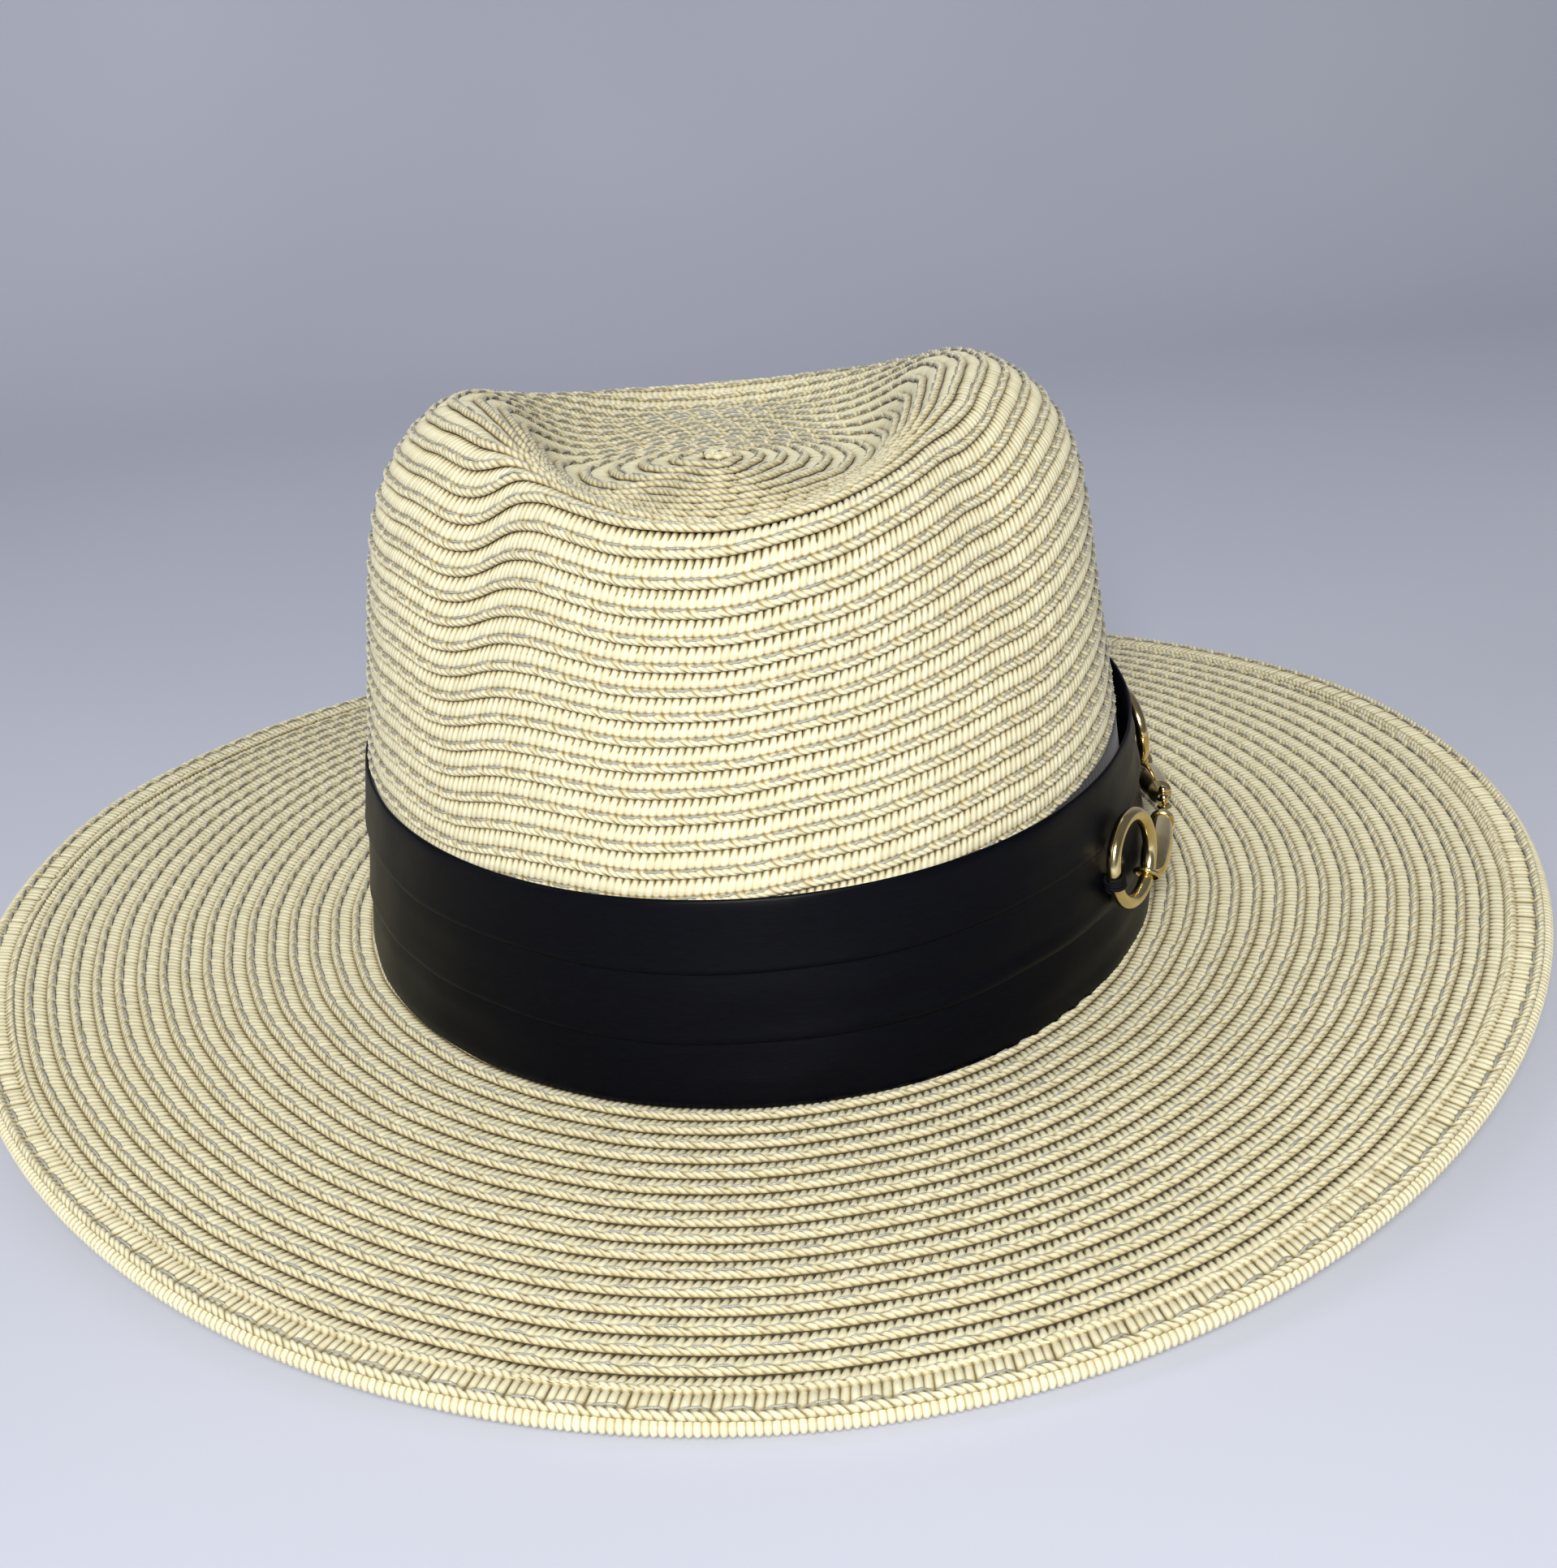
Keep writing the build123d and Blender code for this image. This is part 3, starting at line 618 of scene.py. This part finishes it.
def braid(name, first, last, profile, per_strand, material, node, face=1, ring=None):
    """A stretch of sewn braid between two turns of the spiral, or one closed ring at a row."""
    start, end = length_at(first), length_at(last)
    strands = int(round((end - start) / STRAND))
    closed = ring is not None
    columns = strands * per_strand + (0 if closed else 1)
    along = start + (end - start) * np.arange(columns) / (strands * per_strand)
    strand = (end - start) / strands
    number = np.arange(columns) // per_strand
    swing = np.array(SWING[per_strand])[np.arange(columns) % per_strand]
    tone = RANDOM.random(strands + 1)[np.minimum(number, strands)]
    lift = RANDOM.normal(0, 0.05, strands + 1)[np.minimum(number, strands)]
    # The profile's last column, light, is painted light and shade for the colour.
    share, height, slant, amount, opening, light = profile.T
    place = along[:, None] + slant[None] * strand
    if closed:
        turn = first + (place - start) / (end - start)
        row = ring + share[None] + 0.03 * np.sin(turn * TURN * 13)
    else:
        turn = turn_at(place)
        row = turn - BRIM_ROWS + share[None] + wobble(turn, share[None])
        row = np.where(turn < 1, np.maximum(row, -BRIM_ROWS + UNDER_EDGE_ROW), row)
        row = np.minimum(row, CROWN_ROWS)
    flat = np.where((row > HIDDEN_ROWS[0]) & (row < HIDDEN_ROWS[1]), 0.35, 1.0)
    open_here = openness(row, turn * TURN)
    narrow = np.clip((CROWN_ROWS - row) / 1.2, 0.35, 1)
    from_knot = (place % STITCH_PITCH) - STITCH_PITCH / 2
    knot = np.exp(-((from_knot / KNOT_WIDTH) ** 2)) * (height[None] > 0.5)
    rise = height[None] - KNOT_DEPTH * knot + amount[None] * swing[:, None]
    rise = rise + lift[:, None] * (height[None] > -0.4)
    apart = np.where(RANDOM.random(strands + 1) < 0.7, RANDOM.uniform(0.6, 1.3, strands + 1), 0.25)
    apart = apart[np.minimum(number, strands)][:, None]
    valley = opening[None] * np.maximum(0, -swing[:, None]) * open_here * apart
    rise = (rise - GAP_DEPTH * valley) * flat * narrow
    thick = 0.0 if face > 0 else -(BRAID_THICKNESS + 0.1)
    points = on_hat(row, turn * TURN, thick + face * rise)
    # Painted shade: darker between strands, darkest in the gaps, and a little darker where a cord is drawn
    # in.
    cavity = light[None] + 1.3 * amount[None] * swing[:, None] - 1.3 * valley - 0.18 * knot
    cavity = np.clip(cavity, 0, 1)
    made = make_mesh(
        name,
        points,
        grid_faces(columns, len(profile), closed, flip=face < 0),
        material,
        strip_uv(columns, len(profile), end - start, 6.0, closed) if face > 0 else None,
        cavity=cavity,
        tone=np.broadcast_to(tone[:, None], cavity.shape),
    )
    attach(made, "root")
    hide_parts(node)
    return made


def tubes(name, centres, sideways, outward, radius, material, taper=0.45):
    """Short threads: paths as (threads, points, 3) with two directions across each, in metres."""
    sides = 4
    threads, count = centres.shape[:2]
    size = np.full(count, radius)
    size[[0, -1]] *= taper
    ring = []
    for k in range(sides):
        turn = TURN * k / sides
        ring.append(
            centres
            + (sideways * math.cos(turn) + outward * math.sin(turn)) * size[None, :, None]
        )
    points = np.stack(ring, 2).reshape(-1, 3)
    quads = []
    for i in range(count - 1):
        for k in range(sides):
            a, b = i * sides + k, i * sides + (k + 1) % sides
            quads.append((a, b, b + sides, a + sides))
    first, last = 0, (count - 1) * sides
    quads.append((first + 3, first + 2, first + 1, first))
    quads.append((last, last + 1, last + 2, last + 3))
    quads = np.array(quads)[None] + (np.arange(threads) * count * sides)[:, None, None]
    return make_mesh(name, points, quads.reshape(-1, 4), material)


def stitches(name, first, last, share=0.27, ring=None, over=0.0):
    """The clear thread's dashes."""
    start, end = length_at(first), length_at(last)
    count = int((end - start) / STITCH_PITCH) - 1
    middle = STITCH_PITCH * (math.ceil(start / STITCH_PITCH) + np.arange(count))
    middle = middle + RANDOM.uniform(-0.2, 0.2, count)
    reach = RANDOM.uniform(2.3, 2.9, count)
    steps = np.linspace(-1, 1, 5)
    place = middle[:, None] + reach[:, None] * steps[None]
    if ring is None:
        turn = turn_at(place)
        row = turn - BRIM_ROWS + share + wobble(turn, share)
        keep = (turn[:, 0] > 1.0) & ((row[:, 2] < 0.2) | (row[:, 2] > 7.4)) & (row[:, 2] < CROWN_ROWS - 0.6)
    else:
        turn = first + (place - start) / (end - start) * (last - first)
        row = ring + share + 0 * turn
        keep = np.ones(count, bool)
    row = row + RANDOM.normal(0, 0.02, (count, 1)) + 0.03 * steps[None]
    height = over + 0.72 - 0.6 * np.abs(steps[None]) ** 6 + 0 * row
    row, turn, height = row[keep], turn[keep], height[keep]
    centres = on_hat(row, turn * TURN, height)
    outward = lookup(NORMAL, row, turn * TURN)
    ahead = np.gradient(centres, axis=1)
    ahead /= np.linalg.norm(ahead, axis=2, keepdims=True)
    sideways = np.cross(ahead, outward)
    made = tubes(name, centres, sideways, outward, THREAD_RADIUS * MM, CLEAR_THREAD)
    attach(made, "root")
    return made


PIECES = (
    ("crown_rows_tip", 46, ALL_TURNS - 0.55),
    ("crown_rows_dent", 41, 46),
    ("crown_rows_crest", 37, 41),
    ("crown_rows_upper", 33, 37),
    ("crown_rows_middle", 29, 33),
    ("crown_rows_lower", BAND_TURN, 29),
)
for piece, first, last in PIECES:
    braid(piece, first, last, ROW_PROFILE, 4, STRAW, "crown_braid")
braid("crown_rows_band", BRIM_ROWS, BAND_TURN, ROW_PROFILE, 1, STRAW, "crown_braid")
for part in range(6):
    first = 3 * part
    braid(f"brim_rows_{part + 1}", first, first + 3, ROW_PROFILE, 4, STRAW, "brim_braid")
braid("brim_edge_row", 0, 1, EDGE_PROFILE, 4, STRAW, "brim_braid", ring=-BRIM_ROWS)
UNDER_PIECES = (
    ("crown_inside", BRIM_ROWS, ALL_TURNS - 0.02, "crown_braid"),
    ("brim_underside", 0, BRIM_ROWS, "brim_braid"),
)
for piece, first, last, node in UNDER_PIECES:
    braid(piece, first, last, BACK_PROFILE, 2, SHADED_UNDER_STRAW, node, face=-1)
stitches("crown_stitches", BAND_TURN, ALL_TURNS - 0.8)
stitches("brim_stitches", 1, BRIM_ROWS)
stitches("edge_stitches", 0, 1, share=0.24, ring=-BRIM_ROWS, over=0.5)

# The braid's start, coiled at the tip's middle.
coil_turn = np.linspace(0, 2.4 * TURN, 260)
coil_swing = 0.12 * np.sin(coil_turn * 7)
coil_reach = 0.5 + 2.9 * coil_turn / coil_turn[-1]
coil_middle = SURFACE[-1, 0] + (0, 0, 0.35)
coil_height = coil_middle[2] + 0.35 * (1 - coil_turn / coil_turn[-1])
coil_size = 0.80 + coil_swing
coil_sides = 8
coil_points, coil_cavity = [], []
for k in range(coil_sides + 1):
    turn = TURN * k / coil_sides
    reach = coil_reach + coil_size * np.cos(turn)
    coil_points.append(
        np.stack(
            [
                coil_middle[0] + reach * np.cos(coil_turn),
                coil_middle[1] + reach * np.sin(coil_turn),
                coil_height + coil_size * np.sin(turn),
            ],
            -1,
        )
        * MM
    )
    # Painted shade: the coil darker on its underside and where it narrows between strands, lighter on top.
    coil_cavity.append(np.clip(0.40 + 0.35 * math.sin(turn) + coil_swing, 0, 1))
coil = make_mesh(
    "crown_tip_coil",
    np.stack(coil_points, 1),
    grid_faces(len(coil_turn), coil_sides + 1),
    STRAW,
    cavity=np.stack(coil_cavity, 1),
    tone=np.broadcast_to(RANDOM.random(len(coil_turn))[:, None], (len(coil_turn), coil_sides + 1)),
)
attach(coil, "root")
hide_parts("crown_braid")

# The under layer at the edge: upright bead-like strands around a half-round lip.
LIP_STRANDS = 860
lip_turns = LIP_STRANDS * 4
lip_turn = np.arange(lip_turns) / lip_turns * TURN
lip_swing = np.array(SWING[4])[np.arange(lip_turns) % 4]
lip_path = (
    (0.80, -0.1), (0.995, -0.15), (1.10, -0.25), (1.22, -0.9), (1.20, -1.9),
    (1.08, -2.6), (0.98, -2.85), (0.45, -2.9), (0.2, -2.2),
)
lip_tone = np.repeat(RANDOM.random(LIP_STRANDS), 4)
lip_points, lip_cavity = [], []
for share, drop in lip_path:
    lip_swell = 0.16 * lip_swing
    row = -BRIM_ROWS + (1 - share) + 0.028 * -lip_swing * (share > 1)
    lip_points.append(on_hat(row, lip_turn, drop - lip_swell * (drop < -1.2) + lip_swell * (drop > -0.5)))
    # Painted shade: darker between the strands.
    lip_cavity.append(0.62 + 0.3 * lip_swing)
lip = make_mesh(
    "brim_edge_lip",
    np.stack(lip_points, 1),
    grid_faces(lip_turns, len(lip_path), True, flip=True),
    STRAW,
    strip_uv(lip_turns, len(lip_path), 1150.0, 8.0, True),
    cavity=np.stack(lip_cavity, 1),
    tone=np.broadcast_to(lip_tone[:, None], (lip_turns, len(lip_path))),
)
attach(lip, "root")
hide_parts("brim_edge_braid")


# ---------------------------------------------------------------- band and sweatband

def wall_point(turn, height, out, ease=0.0):
    """A point set out from the lower crown's leaning wall, in metres; the satin stands off the left side."""
    longer = BAND_LONGER if ease else 0.0
    wide, long = HALF_WIDTH + ease / 2, HALF_LENGTH + longer
    r = oval(wide, long, turn)
    moved = -WALL_LEAN * np.asarray(height) / BAND_HEIGHT + np.asarray(out)
    x, y = r * np.cos(turn), r * np.sin(turn)
    nx, ny = x / wide**2, y / long**2
    size = np.hypot(nx, ny)
    z = BREAK + height + 0 * x
    return np.stack([x + ease / 2 + nx / size * moved, y + ny / size * moved, z], -1) * MM


def even_turns(columns):
    """Directions spaced evenly along the oval rather than by angle."""
    fine = np.linspace(0, TURN, 7201)
    points = wall_point(fine, 0.0, 0.0)
    length = np.concatenate([[0], np.cumsum(np.linalg.norm(np.diff(points, axis=0), axis=1))])
    return np.interp(np.arange(columns) / columns * length[-1], length, fine), length[-1]


# The satin's way down, from behind its top edge through two folds to behind its lower edge.
BAND_PATH = [
    (34.0, 0.90), (38.0, 0.92), (41.0, 1.00), (41.65, 1.20), (41.60, 1.50), (41.10, 1.70), (39.5, 1.78),
    (37.5, 1.82), (35.5, 1.87), (33.5, 1.93), (31.5, 2.02), (29.9, 2.12), (28.7, 2.24), (28.0, 2.28),
    (27.72, 2.12), (27.95, 1.92), (29.5, 1.75), (32.0, 1.60), (33.8, 1.50), (34.3, 1.38), (33.9, 1.27),
    (31.5, 1.25), (29.0, 1.30), (27.0, 1.48), (25.0, 1.68), (23.0, 1.80), (21.0, 1.90), (19.0, 1.98),
    (17.0, 2.06), (15.6, 2.16), (14.6, 2.26), (14.0, 2.26), (13.76, 2.10), (14.0, 1.92), (16.0, 1.74),
    (18.5, 1.58), (20.2, 1.48), (20.6, 1.36), (20.2, 1.26), (17.5, 1.24), (15.0, 1.32), (13.0, 1.52),
    (11.0, 1.72), (9.0, 1.84), (7.0, 1.92), (5.0, 2.00), (3.0, 2.08), (1.4, 2.10), (0.45, 1.95),
    (0.15, 1.60), (0.40, 1.20), (2.0, 0.98), (5.0, 0.92),
]
BAND_COLUMNS = 1500
band_turn, band_length = even_turns(BAND_COLUMNS)
# Soft creases that run along the band: direction, height, half length, width, depth and tilt.
creases = []
for number in range(46):
    near = RANDOM.random() < 0.6
    direction = RANDOM.normal(318, 16) if near else RANDOM.uniform(0, 360)
    creases.append(
        (
            direction,
            RANDOM.uniform(3, 39),
            RANDOM.uniform(12, 34),
            RANDOM.uniform(0.8, 1.9),
            RANDOM.uniform(0.18, 0.55) * (1 if near else 0.6) * RANDOM.choice([-1, 1]),
            RANDOM.uniform(-0.05, 0.05),
        )
    )


def band_relief(turn, height):
    """Creases and slack of the satin, outward in millimetres."""
    relief = 0.10 * np.sin(turn * 9 + height * 0.12) + 0.08 * np.sin(turn * 23 - height * 0.2 + 1)
    for direction, level, half, width, depth, tilt in creases:
        away = ((np.degrees(turn) - direction + 180) % 360 - 180) / 360 * band_length / MM
        across = (height - level - tilt * away) / width
        relief = relief + depth * np.exp(-(across**2)) * np.exp(-((away / half) ** 2))
    return relief


band_points = []
for height, out in BAND_PATH:
    outer = smooth((out - 1.5) / 0.35)
    level = height + (0.35 * np.sin(band_turn * 5 + 0.4) + 0.2 * np.sin(band_turn * 11)) * (2 < height < 40)
    relief = np.clip(band_relief(band_turn, level), -0.35, 0.45) * outer
    band_points.append(wall_point(band_turn, level, out + relief, BAND_EASE))
band = make_mesh(
    "hat_band_satin",
    np.stack(band_points, 1),
    grid_faces(BAND_COLUMNS, len(BAND_PATH), True, flip=True),
    SATIN,
    strip_uv(BAND_COLUMNS, len(BAND_PATH), 600.0, 70.0, True),
)
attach(band, "root")
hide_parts("hat_band")


def ribbon(name, low, high, inner, outer, columns, rib, material, face):
    """A ribbed ribbon around the wall, its edges turned over."""
    turn, length = even_turns(columns)
    wave = np.sin(np.arange(columns) * TURN / 4)
    path = [(high - 1.2, inner), (high, inner), (high + 0.15, (inner + outer) / 2)]
    path += [(level, outer) for level in np.linspace(high, low, 9)]
    path += [(low - 0.15, (inner + outer) / 2), (low, inner), (low + 1.2, inner)]
    points, rib_shading = [], []
    for level, out in path:
        showing = out == outer
        points.append(wall_point(turn, level, out + showing * rib * wave))
        # Painted light and shade: lighter where a rib stands out, darker in the grooves; the turned-over rows
        # take the middle value.
        rib_shading.append(0.5 + 0.5 * wave if showing else 0.5 + 0 * wave)
    made = make_mesh(
        name,
        np.stack(points, 1),
        grid_faces(columns, len(points), True, flip=face > 0),
        material,
        rib=np.stack(rib_shading, 1),
    )
    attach(made, "root")
    return made


backing = ribbon("band_backing_ribbon", 1.5, 40.2, 0.35, 0.7, 1200, 0.03, BACKING, 1)
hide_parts("band_backing")
sweat = ribbon("sweatband_ribbon", 0.6, 30.6, -2.15, -2.95, 2200, -0.09, RIBBON, -1)
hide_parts("sweatband")

# The sweatband's seam: a row of slanted machine stitches near its lower edge.
SEAM_STITCHES = 190
seam_turn, _ = even_turns(SEAM_STITCHES)
seam_steps = np.linspace(-1, 1, 5)
seam_place = seam_turn[:, None] + seam_steps[None] * 0.0125
seam_height = 3.4 + 0.25 * seam_steps[None] + 0 * seam_place
seam_out = -3.1 + 0.18 * np.abs(seam_steps[None]) ** 4 + 0 * seam_place
seam_centres = np.stack([wall_point(t, h, o) for t, h, o in zip(seam_place, seam_height, seam_out)])
seam_in = np.stack([-np.cos(seam_place), -np.sin(seam_place), 0 * seam_place], -1)
seam_up = np.zeros_like(seam_in)
seam_up[..., 2] = 1
seam = tubes("sweatband_stitches", seam_centres, seam_up, seam_in, 0.28 * MM, CLEAR_THREAD)
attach(seam, "root")
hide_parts("sweatband_seam")


# ---------------------------------------------------------------- ornament

for node in ("ring_front", "ring_rear", "bar_front", "bar_rear", "centre_link"):
    part = frame["nodes"][node]
    part.data.materials.clear()
    part.data.materials.append(GOLD)


JOINTS = {joint["name"]: joint for joint in frame["record"]["behaviour"]["joints"]}
# The ring's radius, how far its thread lies below its middle, and the thread's own coil, in metres.
RING_RADIUS = 0.00895
LOOP_ANGLE = math.radians(10)
COIL_RADIUS, COIL_DRIFT, COIL_WANDER, COIL_THREAD = 0.00195, 0.0027, 0.0001, 0.00038


def wound_loop(name, node, joint, side):
    """Black thread wound four times around a ring's tube where it is sewn to the band."""
    centre = Vector(JOINTS[joint]["pos_m"])
    axis = Vector(JOINTS[joint]["axis"]).normalized()
    across = Vector((0, 0, 1)).cross(axis).normalized()
    upright = axis.cross(across)
    radial = (across * -side * math.cos(LOOP_ANGLE) - upright * math.sin(LOOP_ANGLE)).normalized()
    tangent = axis.cross(radial).normalized()
    middle = centre + radial * RING_RADIUS
    winds, per_wind, sides = 4, 24, 6
    total = winds * per_wind
    spine, rows = [], []
    for i in range(total + 1):
        turn = TURN * i / per_wind
        drift = (i / total - 0.5) * COIL_DRIFT + COIL_WANDER * math.sin(2.3 * turn)
        spine.append(
            middle + (radial * math.cos(turn) + axis * math.sin(turn)) * COIL_RADIUS + tangent * drift
        )
    for i, point in enumerate(spine):
        ahead = (spine[min(i + 1, total)] - spine[max(i - 1, 0)]).normalized()
        aside = ahead.cross(tangent).normalized()
        away = aside.cross(ahead)
        rows.append(
            [
                point + (aside * math.cos(TURN * k / sides) + away * math.sin(TURN * k / sides)) * COIL_THREAD
                for k in range(sides)
            ]
        )
    points = np.array([[tuple(p) for p in row] for row in rows])
    quads = []
    for i in range(total):
        for k in range(sides):
            a, b = i * sides + k, i * sides + (k + 1) % sides
            quads.append((a, a + sides, b + sides, b))
    made = make_mesh(name, points, np.array(quads), BLACK_THREAD)
    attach(made, "root")
    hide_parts(node)
    return made


wound_loop("thread_winding_front", "thread_loop_front", "ring_front_spin", 1)
wound_loop("thread_winding_rear", "thread_loop_rear", "ring_rear_spin", -1)


# ---------------------------------------------------------------- floor, light and camera

def surroundings():
    """A pale floor that curves up into a backdrop behind the hat."""
    section = [(-1.6, 0.0), (0.55, 0.0)]
    for i in range(1, 17):
        turn = i / 16 * math.pi / 2
        section.append((0.55 + 0.5 * math.sin(turn), 0.5 - 0.5 * math.cos(turn)))
    section.append((1.05, 2.2))
    across = np.linspace(-2.4, 2.4, 9)
    points = np.array([[(x, y, z) for y, z in section] for x in across])
    material, nodes, links, shader = new_material("backdrop")
    place = nodes.new("ShaderNodeTexCoord")
    paper = add_node(nodes, "ShaderNodeTexNoise", Scale=3.0, Detail=2.0)
    links.new(place.outputs["Object"], paper.inputs["Vector"])
    tones = ramp(nodes, (0.2, (0.50, 0.52, 0.61)), (0.8, (0.55, 0.57, 0.66)))
    links.new(paper.outputs["Fac"], tones.inputs["Fac"])
    links.new(tones.outputs["Color"], shader.inputs["Base Color"])
    shader.inputs["Roughness"].default_value = 0.9
    floor = make_mesh("studio_floor", points, grid_faces(len(across), len(section)), material)
    floor.location.z = CAD_BOX[0].z


def area_light(name, place, target, size, power, colour):
    data = bpy.data.lights.new(name, "AREA")
    data.shape = "RECTANGLE"
    data.size, data.size_y = size
    data.energy = power
    data.color = colour
    light = bpy.data.objects.new(name, data)
    light.location = place
    aim = Vector(target) - Vector(place)
    light.rotation_euler = aim.to_track_quat("-Z", "Y").to_euler()
    bpy.context.scene.collection.objects.link(light)
    return light


surroundings()
area_light("key", (-0.05, -1.0, 0.66), (0, -0.06, 0.05), (0.36, 0.36), 18, (1.0, 0.985, 0.95))
area_light("top", (-0.3, 0.6, 1.4), (0, 0.05, 0.05), (1.0, 0.7), 2.6, (0.92, 0.95, 1.0))
area_light("left", (-1.3, -0.2, 0.6), (0, 0, 0.06), (0.5, 0.5), 2.5, (0.92, 0.95, 1.0))
world = bpy.data.worlds.new("studio")
bpy.context.scene.world = world
world.use_nodes = True
world.node_tree.nodes["Background"].inputs["Color"].default_value = (0.80, 0.84, 0.95, 1)
world.node_tree.nodes["Background"].inputs["Strength"].default_value = 0.15

camera_data = bpy.data.cameras.new("camera")
camera = bpy.data.objects.new("camera", camera_data)
bpy.context.scene.collection.objects.link(camera)
ELEVATION, AZIMUTH, ROLL = math.radians(20.80), math.radians(-1.28), math.radians(-4.70)
CAMERA_DISTANCE = 0.49673
target = Vector((0, 0, 0.040 + BREAK * MM))
back = Vector(
    (math.sin(AZIMUTH) * math.cos(ELEVATION), -math.cos(AZIMUTH) * math.cos(ELEVATION), math.sin(ELEVATION))
)
right = Vector((math.cos(AZIMUTH), math.sin(AZIMUTH), 0))
up = back.cross(right)
right, up = (
    right * math.cos(ROLL) + up * math.sin(ROLL),
    up * math.cos(ROLL) - right * math.sin(ROLL),
)
place = target + back * CAMERA_DISTANCE
camera.matrix_world = Matrix(
    (
        (right.x, up.x, back.x, place.x),
        (right.y, up.y, back.y, place.y),
        (right.z, up.z, back.z, place.z),
        (0, 0, 0, 1),
    )
)
camera_data.sensor_width = 36
camera_data.lens = 50.9337
camera_data.shift_x = 0.024855
camera_data.shift_y = -0.048287
camera_data.clip_start = 0.01
bpy.context.scene.camera = camera
bpy.context.scene.view_settings.view_transform = "Standard"
